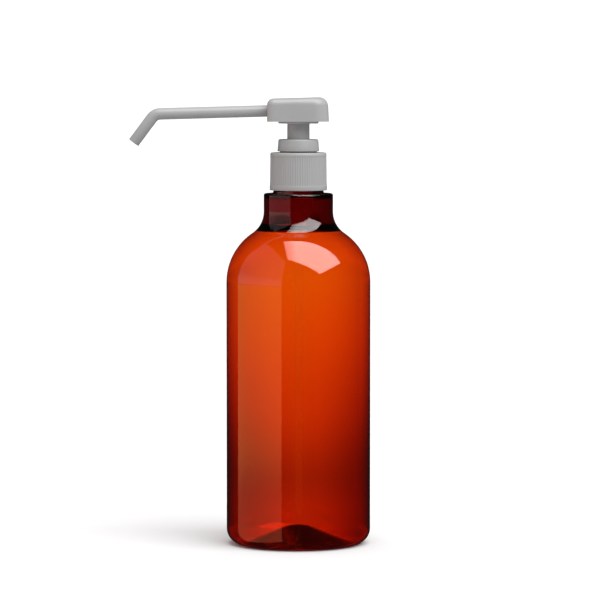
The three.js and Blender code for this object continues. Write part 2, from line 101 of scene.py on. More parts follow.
class BottleSizes(bpy.types.PropertyGroup):
    body_radius: length("Body radius", "Outer radius of the straight body", 43.5 * MM)
    straight_top: length("Straight top", "Height where the dome begins", 158.6 * MM)
    dome_radius: length("Dome radius", "Radius of the shoulder's arc", 35.75 * MM)
    flare_radius: length("Flare radius", "Hollow arc below the neck", 15.8 * MM)
    shelf_top: length("Shelf", "Height of the shelf below the closure", 212.23 * MM)
    neck_radius: length("Neck radius", "Outside of the wide neck", 20.9 * MM)
    neck_wall: length("Neck wall", "Wall of the wide neck", 3.5 * MM)
    roof_thickness: length("Neck roof", "Plastic under the shelf", 1.8 * MM)
    heel_radius: length("Heel radius", "Radius between the body and the foot", 9 * MM)
    wall_top: length("Wall at the dome", "Wall of the blown dome", 0.35 * MM)
    wall_bottom: length("Wall at the heel", "Wall just above the heel", 0.57 * MM)
    push_up_height: length("Push-up height", "Height of the base's hollow", 8.5 * MM)
    base_thickness: length("Base thickness", "Thickness of its middle", 2.8 * MM)
    sides: bpy.props.IntProperty(name="Sides", description="Facets round the bottle", default=192, min=24)


class ThreadSizes(bpy.types.PropertyGroup):
    pitch: length("Pitch", "Rise of the thread in one turn", 4.23 * MM)
    turns: bpy.props.FloatProperty(name="Turns", description="Turns on the finish", default=1.5, min=0.5)
    depth: length("Depth", "Height of the thread over the finish", 1.1 * MM)
    finish_radius: length("Finish radius", "Outside under the thread", FINISH_RADIUS)


class ClosureSizes(bpy.types.PropertyGroup):
    rib_count: bpy.props.IntProperty(name="Ribs", description="Ribs round the closure", default=72, min=8)
    rib_width: length("Rib width", "Width of one rib", 0.9 * MM)
    rib_depth: length("Rib depth", "How far a rib stands out", 0.2 * MM)
    band_height: length("Band height", "Height of the plain lower band", 3.1 * MM)
    plain_top: length("Plain top", "Plain ring above the ribs", 2.2 * MM)
    edge: length("Top edge", "Radius of the closure's top edge", 1 * MM)


class HeadSizes(bpy.types.PropertyGroup):
    nose: length("Nose", "From the axis to the head's nose", 18.8 * MM)
    tail: length("Tail", "From the axis to the head's tail", 18.4 * MM)
    width: length("Width", "Width of the head", 26.5 * MM)
    height: length("Height", "Height of the head in its middle", 14.3 * MM)
    wall: length("Wall", "Wall of the head's shell", 1.6 * MM)
    edge: length("Top edge", "Radius of the head's top edge", 3.6 * MM)
    tail_edge: length("Tail's top edge", "Top edge at the tail", 5.3 * MM)
    nose_corner: length("Nose corners", "Radius seen from above", 3.9 * MM)
    tail_corner: length("Tail corners", "Radius seen from above", 8.8 * MM)
    slope: bpy.props.FloatProperty(
        name="Crown slope", description="Rise of the crown towards the tail", default=0.026
    )
    tail_draft: bpy.props.FloatProperty(
        name="Tail draft", description="Lean of the tail towards the axis", default=0.052
    )


class NozzleSizes(bpy.types.PropertyGroup):
    radius: length("Radius", "Outer radius of the tube", 3.475 * MM)
    bore: length("Bore", "Radius of the hole", 2 * MM)
    reach: length("Reach", "From the axis to the bend's corner", 86.4 * MM)
    droop: tilt("Droop", "Fall of the straight stretch", 1.57)
    leg_angle: tilt("Leg angle", "Fall of the leg", 53.2)
    leg_length: length("Leg length", "From the bend's corner to the tip", 21.5 * MM)
    bend: length("Bend", "Radius of the bend's centre line", 6.5 * MM)


class FinishColours(bpy.types.PropertyGroup):
    amber: colour("Amber", "What a thin layer of the clear plastic lets through", (0.9708, 0.6957, 0.0417))
    amber_density: bpy.props.FloatProperty(
        name="Amber density", description="How fast the amber deepens with thickness", default=12000, min=0
    )
    pump: colour("Pump", "Colour of the closure, collar, stem, head and nozzle", (0.26, 0.26, 0.26))
    inner: colour("Inner pieces", "Colour of the housing, cage and rod", (0.7, 0.7, 0.7))
    seals: colour("Seals", "Colour of the gasket and the piston", (0.62, 0.62, 0.62))


class StageSizes(bpy.types.PropertyGroup):
    camera_distance: length("Camera distance", "From the axis to the camera", 2.1)
    camera_height: length("Camera height", "Height of the camera over the floor", 0.295)
    camera_pitch: tilt("Camera pitch", "How far it looks down", 4.013)
    focal_pixels: bpy.props.FloatProperty(
        name="Focal length", description="Focal length in pixels of the picture", default=3482
    )
    floor_radius: length("Floor radius", "Radius of the pale floor", 30)


# Node trees


class Wire:
    """A socket of a node tree. Arithmetic on it adds Math nodes."""

    def __init__(self, graph, socket):
        self.graph = graph
        self.socket = socket

    def __add__(self, other):
        return self.graph.math("ADD", self, other)

    def __sub__(self, other):
        return self.graph.math("SUBTRACT", self, other)

    def __rsub__(self, other):
        return self.graph.math("SUBTRACT", other, self)

    def __mul__(self, other):
        return self.graph.math("MULTIPLY", self, other)

    def __truediv__(self, other):
        return self.graph.math("DIVIDE", self, other)

    __radd__ = __add__
    __rmul__ = __mul__


class Graph:
    """Adds nodes to a node tree."""

    def __init__(self, tree):
        self.tree = tree

    def node(self, kind, settings=None, inputs=None, output=0):
        """One node. Settings come first, then values or wires of its sockets. Gives one of its outputs."""
        node = self.tree.nodes.new(kind)
        for name, value in (settings or {}).items():
            setattr(node, name, value)
        for name, value in (inputs or {}).items():
            self.feed(node.inputs[name], value)
        if len(node.outputs) == 0:
            return node
        return Wire(self, node.outputs[output])

    def feed(self, socket, value):
        if isinstance(value, Wire):
            self.tree.links.new(value.socket, socket)
        else:
            socket.default_value = value

    def math(self, operation, *values):
        return self.node("ShaderNodeMath", {"operation": operation}, dict(enumerate(values)))

    def dot(self, wire, vector):
        """The dot product of a wire and a constant vector."""
        settings = {"operation": "DOT_PRODUCT"}
        return self.node("ShaderNodeVectorMath", settings, {0: wire, 1: tuple(vector)}, output="Value")

    def smooth(self, wire, low, high):
        """Goes smoothly from 0 where the wire is low to 1 where it is high."""
        settings = {"interpolation_type": "SMOOTHSTEP"}
        inputs = {"Value": wire, "From Min": low, "From Max": high, "To Min": 0.0, "To Max": 1.0}
        return self.node("ShaderNodeMapRange", settings, inputs)

    def mix(self, factor, first, second):
        """A colour between two colours."""
        settings = {"data_type": "RGBA"}
        return self.node("ShaderNodeMix", settings, {0: factor, 6: first, 7: second}, output=2)

    def noise(self, vector, scale, detail=2.0):
        inputs = {"Vector": vector, "Scale": scale, "Detail": detail}
        return self.node("ShaderNodeTexNoise", {}, inputs, output="Fac")

    def scaled(self, wire, scale):
        """Coordinates stretched along each axis."""
        return self.node("ShaderNodeMapping", {}, {"Vector": wire, "Scale": scale})


def grey(level):
    return (level, level, level, 1.0)


def tone(base, factor=1.0):
    """A lighter or darker tone of a colour, as a socket takes it."""
    return (base[0] * factor, base[1] * factor, base[2] * factor, 1.0)


# Materials


def new_material(name):
    material = bpy.data.materials.new(name)
    material.use_nodes = True
    material.node_tree.nodes.clear()
    return material, Graph(material.node_tree)


def finish_material(graph, inputs, volume=None, kind="ShaderNodeBsdfPrincipled"):
    """Ends a material in one shader with those inputs, and in a volume where it has one."""
    ends = {"Surface": graph.node(kind, {}, inputs)}
    if volume is not None:
        ends["Volume"] = volume
    graph.node("ShaderNodeOutputMaterial", {}, ends)


def tinted_pet():
    """Clear amber PET. Its colour comes from the depth of plastic that light crosses. The hill of the base,
    which holds more plastic than is modelled,
    has a darker surface: partly the colour of that thicker plastic and partly painted shade for the dark
    floor under the bottle seen through it."""
    colours = bpy.context.scene.finish_colours
    material, graph = new_material("tinted_pet")
    place = graph.node("ShaderNodeTexCoord", output="Object")
    flow = graph.noise(graph.scaled(place, (1, 1, 0.25)), 90.0)
    roughness = 0.012 + 0.02 * flow
    centred = graph.node("ShaderNodeMapping", {}, {"Vector": place, "Location": (-AXIS_X, 0.0, 0.0)})
    from_axis = graph.node(
        "ShaderNodeVectorMath",
        {"operation": "LENGTH"},
        {0: graph.node("ShaderNodeVectorMath", {"operation": "MULTIPLY"}, {0: centred, 1: (1.0, 1.0, 0.0)})},
        output="Value",
    )
    height = graph.dot(place, (0, 0, 1))
    # Painted shade on the base's hill: inside the heel and near the floor a dark brown darkens the plastic,
    # partly for thicker plastic and partly for shade.
    painted_shade_inside_heel = 1.0 - graph.smooth(from_axis, 24 * MM, 30 * MM)
    painted_shade_near_floor = 1.0 - graph.smooth(height, 13 * MM, 14 * MM)
    tint = graph.mix(painted_shade_inside_heel * painted_shade_near_floor, grey(1.0), (0.12, 0.07, 0.06, 1.0))
    absorption = {"Color": tone(colours.amber), "Density": colours.amber_density}
    volume = graph.node("ShaderNodeVolumeAbsorption", {}, absorption)
    inputs = {"Base Color": tint, "Roughness": roughness, "IOR": 1.575, "Transmission Weight": 1.0}
    finish_material(graph, inputs, volume)
    return material


def moulded_plastic(name, base, roughness, grain, painted_glow=0.0):
    """Satin moulded plastic: an even colour with faint flow marks and a fine grain.

    The glow is painted light: the piece gives off light in place of the light that reaches a milky polymer
    inside the bottle through the amber wall, and that it passes on.
    """
    material, graph = new_material(name)
    place = graph.node("ShaderNodeTexCoord", output="Object")
    flow = graph.noise(graph.scaled(place, (1, 1, 0.4)), 70.0, 3.0)
    fine = graph.noise(place, 2600.0, 3.0)
    mottled = graph.mix(flow, tone(base, 0.96), tone(base, 1.04))
    normal = graph.node("ShaderNodeBump", {}, {"Strength": grain, "Distance": 0.00005, "Height": fine})
    inputs = {
        "Base Color": mottled,
        "Roughness": roughness + 0.1 * (fine - 0.5),
        "IOR": 1.49,
        # painted light: an emission, though the piece is no lamp
        "Emission Color": grey(1.0),
        "Emission Strength": painted_glow,
        "Normal": normal,
    }
    finish_material(graph, inputs)
    return material


def milky_tube():
    """Clear polyethylene tube, hardly seen through the bottle, with a faint painted glow for the light that
    reaches it through the bottle's wall.
    """
    material, graph = new_material("milky_tube")
    place = graph.node("ShaderNodeTexCoord", output="Object")
    cloud = graph.noise(place, 300.0)
    inputs = {
        "Base Color": grey(0.95),
        "Roughness": 0.25 + 0.1 * cloud,
        "IOR": 1.2,
        "Alpha": 0.04,
        # painted light: a faint emission, though the tube is no lamp
        "Emission Color": grey(1.0),
        "Emission Strength": 0.15,
    }
    finish_material(graph, inputs)
    return material


def bright_steel():
    """Drawn steel wire and polished balls."""
    material, graph = new_material("bright_steel")
    place = graph.node("ShaderNodeTexCoord", output="Object")
    scratches = graph.noise(graph.scaled(place, (1, 1, 0.1)), 3000.0)
    inputs = {"Base Color": (0.62, 0.63, 0.65, 1.0), "Metallic": 1.0, "Roughness": 0.18 + 0.15 * scratches}
    finish_material(graph, inputs)
    return material


def pale_floor():
    """The plain matt floor."""
    material, graph = new_material("pale_floor")
    finish_material(graph, {"Base Color": grey(0.5), "Roughness": 1.0, "Specular IOR Level": 0.0})
    return material


def painted_shadow_floor():
    """Painted shadow: a near-black floor that stands for the floor in the bottle's own shadow."""
    material, graph = new_material("painted_shadow_floor")
    # painted shadow: a near-black colour put where there is only shade
    finish_material(graph, {"Color": grey(0.03)}, kind="ShaderNodeBsdfDiffuse")
    return material


def satin_grey():
    """The pump's grey plastic."""
    return moulded_plastic("satin_grey", bpy.context.scene.finish_colours.pump, 0.4, 0.12)


def natural_polymer():
    """The uncoloured plastic inside the pump, with a faint painted glow."""
    return moulded_plastic("natural_polymer", bpy.context.scene.finish_colours.inner, 0.5, 0.1, painted_glow=0.2)


def soft_seal():
    """The soft plastic of the gasket and the piston."""
    return moulded_plastic("soft_seal", bpy.context.scene.finish_colours.seals, 0.6, 0.15)


MAKERS = [
    tinted_pet, satin_grey, natural_polymer, soft_seal, milky_tube, bright_steel, pale_floor, painted_shadow_floor
]


def material(name):
    """The material of that name, made when it is first asked for."""
    makers = {maker.__name__: maker for maker in MAKERS}
    return bpy.data.materials.get(name) or makers[name]()


# Profiles and turned pieces


def arc(centre, radius, start, end, steps):
    """Points of an arc in the profile plane, both ends included. Angles are in radians."""
    points = []
    for i in range(steps + 1):
        angle = start + (end - start) * i / steps
        points.append((centre[0] + radius * math.cos(angle), centre[1] + radius * math.sin(angle)))
    return points


def straight(start, end, margin=0.4 * MM):
    """Two points close to the ends of a straight stretch, which keep its shading straight."""
    start, end = Vector(start), Vector(end)
    step = (end - start).normalized() * margin
    return [tuple(start + step), tuple(end - step)]


def rounded(corners):
    """Points of a closed profile with rounded corners. Each corner is (radius, height, rounding)."""
    step = math.radians(15)
    points = []
    for i, (radius, height, rounding) in enumerate(corners):
        here = Vector((radius, height))
        if rounding == 0:
            points.append(tuple(here))
            continue
        back = (Vector(corners[i - 1][:2]) - here).normalized()
        ahead = (Vector(corners[(i + 1) % len(corners)][:2]) - here).normalized()
        half = back.angle(ahead) / 2
        start = here + back * rounding / math.tan(half)
        end = here + ahead * rounding / math.tan(half)
        centre = here + (back + ahead).normalized() * rounding / math.sin(half)
        spoke = start - centre
        turn = math.atan2(spoke.cross(end - centre), spoke.dot(end - centre))
        steps = max(2, math.ceil(abs(turn) / step))
        for k in range(steps + 1):
            points.append(tuple(centre + Matrix.Rotation(turn * k / steps, 2) @ spoke))
    return points


def add_object(name, data):
    """A new object of that mesh or camera, linked to the scene."""
    new = bpy.data.objects.new(name, data)
    bpy.context.scene.collection.objects.link(new)
    return new


def shade(mesh):
    """Smooth shading, with sharp edges kept sharp."""
    mesh.shade_smooth()
    mesh.set_sharp_from_angle(angle=math.radians(35))


def make_piece(name, points, faces, finish):
    """A mesh object of that material, with its faces turned outwards and its doubles merged."""
    mesh = bpy.data.meshes.new(name)
    shape = bmesh.new()
    corners = [shape.verts.new(point) for point in points]
    for face in faces:
        shape.faces.new([corners[i] for i in face])
    bmesh.ops.remove_doubles(shape, verts=shape.verts, dist=1e-7)
    bmesh.ops.recalc_face_normals(shape, faces=shape.faces)
    shape.to_mesh(mesh)
    shape.free()
    mesh.materials.append(material(finish))
    shade(mesh)
    return add_object(name, mesh)


def turned_piece(name, profile, sides, finish, loop=True):
    """A profile of (radius, height) turned about the bottle's axis. A loop is closed on itself."""
    points, rings = [], []
    for radius, height in profile:
        if radius < 1e-7:
            rings.append([len(points)] * sides)
            points.append((AXIS_X, 0.0, height))
            continue
        rings.append([len(points) + i for i in range(sides)])
        for i in range(sides):
            angle = 2 * math.pi * i / sides
            points.append((AXIS_X + radius * math.cos(angle), radius * math.sin(angle), height))
    faces = []
    pairs = list(zip(rings, rings[1:]))
    if loop:
        pairs.append((rings[-1], rings[0]))
    for below, above in pairs:
        for i in range(sides):
            j = (i + 1) % sides
            face = list(dict.fromkeys((below[i], below[j], above[j], above[i])))
            if len(face) > 2:
                faces.append(face)
    return make_piece(name, points, faces, finish)


def fit(piece, body, slot, *nodes):
    """Puts a finished piece on its body in place of CAD nodes."""
    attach(piece, body)
    if nodes:
        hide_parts(*nodes)


def combine(piece, other, operation):
    """Joins a piece with another, or cuts it by the other, which is used up."""
    modifier = piece.modifiers.new("combine", "BOOLEAN")
    modifier.operation = operation
    modifier.solver = "EXACT"
    modifier.object = other
    settle(piece)
    bpy.data.objects.remove(other)


def settle(piece):
    """Turns what a piece's modifiers make into its own plain mesh."""
    graph = bpy.context.evaluated_depsgraph_get()
    mesh = bpy.data.meshes.new_from_object(piece.evaluated_get(graph), depsgraph=graph)
    piece.modifiers.clear()
    old = piece.data
    piece.data = mesh
    bpy.data.meshes.remove(old)
    mesh.name = piece.name
    shade(mesh)


# Bottle


def bottle_levels(sizes):
    """Centres and angles of the bottle's arcs."""
    dome = (sizes.body_radius - sizes.dome_radius, sizes.straight_top)
    flare = (sizes.neck_radius + sizes.flare_radius, 0.0)
    rise = math.sqrt((sizes.dome_radius + sizes.flare_radius) ** 2 - (flare[0] - dome[0]) ** 2)
    flare = (flare[0], sizes.straight_top + rise)
    return dome, flare, math.atan2(rise, flare[0] - dome[0])


def push_up(height, edge_height):
    """One face of the base's hill, from its small crown down to its edge."""
    crown_radius, crown_drop = 6 * MM, 0.7 * MM
    hill_radius = 28 * MM
    return [(0.0, height), (crown_radius, height - crown_drop), (hill_radius, edge_height)]


def bottle_outside(sizes):
    """The outer profile from the middle of the base up to the shelf."""
    dome, flare, blend = bottle_levels(sizes)
    foot = sizes.body_radius - sizes.heel_radius
    foot_width, hill_edge = 3 * MM, 0.7 * MM
    shelf_edge = 1.2 * MM
    quarter = math.pi / 2
    base = push_up(sizes.push_up_height, hill_edge) + [(foot - foot_width, 0.0)]
    heel = arc((foot, sizes.heel_radius), sizes.heel_radius, -quarter, 0, 20)
    shoulder = arc(dome, sizes.dome_radius, 0, blend, 24)
    hollow = arc(flare, sizes.flare_radius, math.pi + blend, math.pi, 18)[1:]
    shelf = arc((sizes.neck_radius - shelf_edge, sizes.shelf_top - shelf_edge), shelf_edge, 0, quarter, 6)
    body = straight(heel[-1], shoulder[0])
    neck = straight(hollow[-1], shelf[0])
    return base + heel + body + shoulder + hollow + neck + shelf


def bottle_finish(sizes):
    """The threaded part inside the closure, from the shelf over the rim and down to the neck's roof."""
    high = node_heights("bottle")[1]
    mouth = 10.9 * MM
    collar_radius, collar_top = 15.3 * MM, sizes.shelf_top + 1.6 * MM
    chamfer = 0.4 * MM
    return [
        (collar_radius, sizes.shelf_top),
        (collar_radius, collar_top - chamfer),
        (collar_radius - chamfer, collar_top),
        (FINISH_RADIUS, collar_top),
        (FINISH_RADIUS, high - chamfer),
        (FINISH_RADIUS - chamfer, high),
        (mouth + chamfer, high),
        (mouth, high - chamfer),
        (mouth, sizes.shelf_top - sizes.roof_thickness),
    ]


def bottle_inside(sizes):
    """The inner profile from the neck's roof down to the middle of the base."""
    dome, flare, blend = bottle_levels(sizes)
    quarter = math.pi / 2
    roof = sizes.shelf_top - sizes.roof_thickness
    inner_neck = sizes.neck_radius - sizes.neck_wall
    curve = 1.5 * MM
    thick_share, thin_share = 0.45, 0.8
    hill_edge = 2.4 * MM
    foot = sizes.body_radius - sizes.heel_radius
    thin = sizes.dome_radius - sizes.wall_top
    ledge = arc(flare, sizes.flare_radius + sizes.neck_wall, math.pi, math.pi + thick_share * blend, 8)
    flare_inside = sizes.flare_radius + sizes.wall_top
    ledge += arc(flare, flare_inside, math.pi + thin_share * blend, math.pi + blend, 4)
    under = arc(dome, thin, blend, 0, 24)[1:]
    heel_curve = sizes.heel_radius - sizes.wall_bottom
    heel = arc((foot, sizes.heel_radius), heel_curve, 0, -quarter, 20)
    ceiling = arc((inner_neck - curve, roof - curve), curve, quarter, 0, 6)
    neck = straight(ceiling[-1], ledge[0])
    body = straight(under[-1], heel[0])
    base = push_up(sizes.push_up_height + sizes.base_thickness, hill_edge)
    return ceiling + neck + ledge + under + body + heel + base[::-1]


def make_bottle(sizes):
    profile = bottle_outside(sizes) + bottle_finish(sizes) + bottle_inside(sizes)
    piece = turned_piece("amber_bottle", profile, sizes.sides, "tinted_pet", loop=False)
    fit(piece, "bottle", "amber_pet", "bottle")


# Repeats by Geometry Nodes


def geometry_tree(name, numbers, counts=()):
    """A node tree with named inputs. Gives the graph, and each input's wire and identifier."""
    sockets = dict.fromkeys(numbers, "NodeSocketFloat")
    sockets.update(dict.fromkeys(counts, "NodeSocketInt"))
    sockets["Finish"] = "NodeSocketMaterial"
    tree = bpy.data.node_groups.new(name, "GeometryNodeTree")
    tree.interface.new_socket("Geometry", in_out="INPUT", socket_type="NodeSocketGeometry")
    identifiers = {}
    for label, kind in sockets.items():
        identifiers[label] = tree.interface.new_socket(label, in_out="INPUT", socket_type=kind).identifier
    tree.interface.new_socket("Geometry", in_out="OUTPUT", socket_type="NodeSocketGeometry")
    graph = Graph(tree)
    entry = tree.nodes.new("NodeGroupInput")
    wires = {socket.name: Wire(graph, socket) for socket in entry.outputs if socket.name}
    return graph, wires, identifiers


def finish_tree(graph, shape, finish):
    """Ends a tree in Realize Instances and Set Material."""
    real = graph.node("GeometryNodeRealizeInstances", {}, {"Geometry": shape})
    dressed = graph.node("GeometryNodeSetMaterial", {}, {"Geometry": real, "Material": finish})
    graph.node("NodeGroupOutput", {}, {"Geometry": dressed})


def run_tree(piece, graph, identifiers, values):
    """Runs a node tree on a piece and keeps the result as its plain mesh."""
    modifier = piece.modifiers.new("nodes", "NODES")
    modifier.node_group = graph.tree
    for label, value in values.items():
        modifier[identifiers[label]] = value
    settle(piece)


def rib_tree():
    """A ring of upright ribs with an oval section, leaning in towards the top."""
    numbers = ("Radius", "Width", "Depth", "Bottom", "Top", "Lean", "Axis")
    graph, wires, identifiers = geometry_tree("closure_ribs", numbers, counts=["Count"])
    height = wires["Top"] - wires["Bottom"]
    bar = graph.node(
        "GeometryNodeMeshCylinder",
        {"fill_type": "TRIANGLE_FAN"},
        {"Vertices": 10, "Radius": 1.0, "Depth": 1.0},
        output="Mesh",
    )
    half_width = wires["Width"] / 2
    size = graph.node("ShaderNodeCombineXYZ", {}, {"X": wires["Depth"], "Y": half_width, "Z": height})
    lean = graph.node("ShaderNodeCombineXYZ", {}, {"Y": 0.0 - wires["Lean"]})
    rib = graph.node("GeometryNodeTransform", {}, {"Geometry": bar, "Scale": size})
    rib = graph.node("GeometryNodeTransform", {}, {"Geometry": rib, "Rotation": lean})
    ring = graph.node(
        "GeometryNodeMeshCircle", {}, {"Vertices": wires["Count"], "Radius": wires["Radius"]}, output="Mesh"
    )
    index = graph.node("GeometryNodeInputIndex")
    turn = graph.node("ShaderNodeCombineXYZ", {}, {"Z": index * (2 * math.pi) / wires["Count"]})
    inputs = {"Points": ring, "Instance": rib, "Rotation": turn}
    spread = graph.node("GeometryNodeInstanceOnPoints", {}, inputs)
    middle = (wires["Top"] + wires["Bottom"]) / 2
    place = graph.node("ShaderNodeCombineXYZ", {}, {"X": wires["Axis"], "Z": middle})
    moved = graph.node("GeometryNodeTransform", {}, {"Geometry": spread, "Translation": place})
    joined = graph.node("GeometryNodeJoinGeometry", {}, {"Geometry": moved})
    joined.graph.tree.links.new(wires["Geometry"].socket, joined.socket.node.inputs[0])
    finish_tree(graph, joined, wires["Finish"])
    return graph, identifiers


def thread_tree():
    """A right-handed helical ridge whose ends run out to nothing."""
    numbers = ("Radius", "Pitch", "Turns", "Depth", "Bottom", "Axis")
    graph, wires, identifiers = geometry_tree("screw_thread", numbers)
    spiral = graph.node(
        "GeometryNodeCurveSpiral",
        {},
        {
            "Resolution": 72,
            "Rotations": wires["Turns"],
            "Start Radius": wires["Radius"],
            "End Radius": wires["Radius"],
            "Height": wires["Turns"] * wires["Pitch"],
            "Reverse": True,
        },
    )
    along = graph.node("GeometryNodeSplineParameter", output="Factor")
    start = graph.smooth(along, 0.0, 0.08)
    end = graph.smooth(1.0 - along, 0.0, 0.08)
    radius = 0.15 + 0.85 * start * end
    swell = graph.node("GeometryNodeSetCurveRadius", {}, {"Curve": spiral, "Radius": radius})
    upright = graph.node("GeometryNodeSetCurveNormal", {"mode": "Z_UP"}, {"Curve": swell})
    section = graph.node(
        "GeometryNodeCurvePrimitiveCircle",
        {"mode": "RADIUS"},
        {"Resolution": 10, "Radius": wires["Depth"]},
        output="Curve",
    )
    inputs = {"Curve": upright, "Profile Curve": section, "Fill Caps": True}
    ridge = graph.node("GeometryNodeCurveToMesh", {}, inputs)
    place = graph.node("ShaderNodeCombineXYZ", {}, {"X": wires["Axis"], "Z": wires["Bottom"]})
    moved = graph.node("GeometryNodeTransform", {}, {"Geometry": ridge, "Translation": place})
    finish_tree(graph, moved, wires["Finish"])
    return graph, identifiers


def empty_piece(name):
    return add_object(name, bpy.data.meshes.new(name))


# Closure


def make_closure(sizes):
    """The screw cap, with a ring of ribs let into its wall."""
    bottom, top = node_heights("screw_closure")
    bore = 14.05 * MM
    crest = 17.15 * MM
    band = crest + 0.15 * MM
    lean = 0.25 * MM
    sink = 0.05 * MM
    root = crest - sizes.rib_depth
    top_radius = crest - lean + sink
    rib_bottom = bottom + sizes.band_height
    rib_top = top - sizes.plain_top
    lid_hole = 11.45 * MM
    lid = 1.6 * MM
    profile = rounded(
        [
            (bore, bottom, 0.2 * MM),
            (band, bottom, 0.3 * MM),
            (band, rib_bottom, 0.25 * MM),
            (root, rib_bottom, 0),
            (root - lean, rib_top, 0),
            (top_radius, rib_top, 0.1 * MM),
            (top_radius, top, sizes.edge),
            (lid_hole, top, 0.3 * MM),
            (lid_hole, top - lid, 0),
            (bore, top - lid, 0.5 * MM),
        ]
    )
    piece = turned_piece("ribbed_closure", profile, 144, "satin_grey")
    graph, identifiers = rib_tree()
    overlap = 0.3 * MM
    values = {
        "Count": sizes.rib_count,
        "Radius": root - lean / 2 - sink,
        "Width": sizes.rib_width,
        "Depth": sizes.rib_depth + sink,
        "Bottom": rib_bottom - overlap,
        "Top": rib_top + overlap,
        "Lean": lean / (rib_top - rib_bottom),
        "Axis": AXIS_X,
        "Finish": material("satin_grey"),
    }
    run_tree(piece, graph, identifiers, values)
    fit(piece, "closure", "grey_plastic", "screw_closure")


def make_threads(sizes):
    """The ridge on the bottle's finish, and a longer one inside the closure, half a pitch away from it."""
    rim = node_heights("bottle")[1]
    bare_finish = 2.6 * MM
    closure_gap = 1.4 * MM
    sink = 0.1 * MM
    graph, identifiers = thread_tree()
    ridge_bottom = rim - bare_finish - sizes.turns * sizes.pitch
    ridge = empty_piece("neck_thread")
    values = {
        "Radius": sizes.finish_radius + sink,
        "Pitch": sizes.pitch,
        "Turns": sizes.turns,
        "Depth": sizes.depth - sink,
        "Bottom": ridge_bottom,
        "Axis": AXIS_X,
        "Finish": material("tinted_pet"),
    }
    run_tree(ridge, graph, identifiers, values)
    fit(ridge, "bottle", "amber_pet")
    groove = empty_piece("closure_thread")
    values["Radius"] = sizes.finish_radius + closure_gap - sink
    values["Depth"] = 0.85 * MM
    values["Bottom"] = ridge_bottom - sizes.pitch / 2
    values["Turns"] = sizes.turns + 0.5
    values["Finish"] = material("satin_grey")
    run_tree(groove, graph, identifiers, values)
    fit(groove, "closure", "grey_plastic")


# Collar and stem


def make_chaplet():
    """The collar that stands on the closure and guides the stem."""
    bottom, top = node_heights("chaplet")
    step = 2.4 * MM
    bore, neck, radius = 9.8 * MM, 11.15 * MM, 12.6 * MM
    stem_hole, lid = 7 * MM, 1.4 * MM
    taper = 0.6 * MM
    profile = rounded(
        [
            (bore, bottom, 0),
            (neck, bottom, 0.2 * MM),
            (neck, bottom + step, 0.1 * MM),
            (radius, bottom + step, 0.25 * MM),
            (radius - taper, top, 0.9 * MM),
            (stem_hole, top, 0.25 * MM),
            (stem_hole, top - lid, 0),
            (bore, top - lid, 0),
        ]
    )
    piece = turned_piece("chaplet_collar", profile, 144, "satin_grey")
    fit(piece, "pump", "grey_plastic", "chaplet")


def make_stem():
    """The round stem, wider above the closure than in the housing, with a stop flange under the collar."""
    low, high = node_heights("stem")
    collar_top = node_heights("chaplet")[1]
    radius, lower_radius, flange_radius = 6.7 * MM, 5.6 * MM, 8.2 * MM
    bore, rod_bore = 3 * MM, 3.8 * MM
    flange_top = collar_top - 1.7 * MM
    flange_bottom = flange_top - 1 * MM
    lower_top = flange_top - 5 * MM
    rod_top = collar_top + 0.2 * MM
    profile = rounded(
        [
            (rod_bore, low, 0),
            (lower_radius, low, 0.3 * MM),
            (lower_radius, lower_top, 0),
            (radius, lower_top, 0.4 * MM),
            (radius, flange_bottom, 0),
            (flange_radius, flange_bottom, 0.2 * MM),
            (flange_radius, flange_top, 0.2 * MM),
            (radius, flange_top, 0.2 * MM),
            (radius, high, 0.4 * MM),
            (bore, high, 0.2 * MM),
            (bore, rod_top, 0),
            (rod_bore, rod_top, 0),
        ]
    )
    piece = turned_piece("round_stem", profile, 96, "satin_grey")
    fit(piece, "head", "grey_plastic", "stem")


# Head


def head_outline(sizes, inset, steps=10):
    """The head seen from above, as (x, y) about the axis, drawn in by inset."""
    nose, tail = -sizes.nose + inset, sizes.tail - inset
    side = sizes.width / 2 - inset
    least = 0.4 * MM
    small = max(sizes.nose_corner - inset, least)
    large = max(sizes.tail_corner - inset, least)
    corners = [
        (tail - large, side - large, large, 0),
        (nose + small, side - small, small, 1),
        (nose + small, small - side, small, 2),
        (tail - large, large - side, large, 3),
    ]
    bends = []
    for x, y, radius, quarter in corners:
        bends.append(arc((x, y), radius, quarter * math.pi / 2, (quarter + 1) * math.pi / 2, steps))
    points = []
    for bend, following in zip(bends, bends[1:] + bends[:1]):
        points += bend
        start, end = Vector(bend[-1]), Vector(following[0])
        points += [tuple(start.lerp(end, i / steps)) for i in range(1, steps)]
    return points


def head_rings(sizes, inset, bottom, top):
    """Rings of points up a wall of the head, round its top edge and over its crown to the middle."""
    edge = sizes.edge - inset
    swell = (sizes.tail_edge - inset) / edge - 1
    level_rim = 2 * MM
    rings = []

    def add(drawn_in, drop, shrink=1.0, share=1.0):
        """One ring, drawn in from the wall and dropped from the crown by so much.

        It is shrunk towards the axis for the crown, and lies at a share of its height for the wall. The
        rim stays level, and above it the ring slopes like the crown.
        """
        ring = []
        for x, y in head_outline(sizes, inset + drawn_in):
            x, y = x * shrink, y * shrink
            tail_share = max(x, 0) / sizes.tail
            height = bottom + (top - drop * (1 + swell * tail_share) - bottom) * share
            lean = sizes.tail_draft * (height - bottom) * tail_share
            slope = sizes.slope * (x - sizes.tail / 2) * min(1.0, (height - bottom) / level_rim)
            ring.append((AXIS_X + x - drawn_in * swell * tail_share - lean, y, height + slope))
        rings.append(ring)

    for share in (0.0, 0.25, 0.5, 0.75):
        add(0.0, edge, share=share)
    bends = 10
    for i in range(bends + 1):
        angle = math.pi / 2 * i / bends
        add(edge * (1 - math.cos(angle)), edge * (1 - math.sin(angle)))
    for shrink in (0.85, 0.6, 0.35, 0.12):
        add(edge, 0.0, shrink)
    return rings


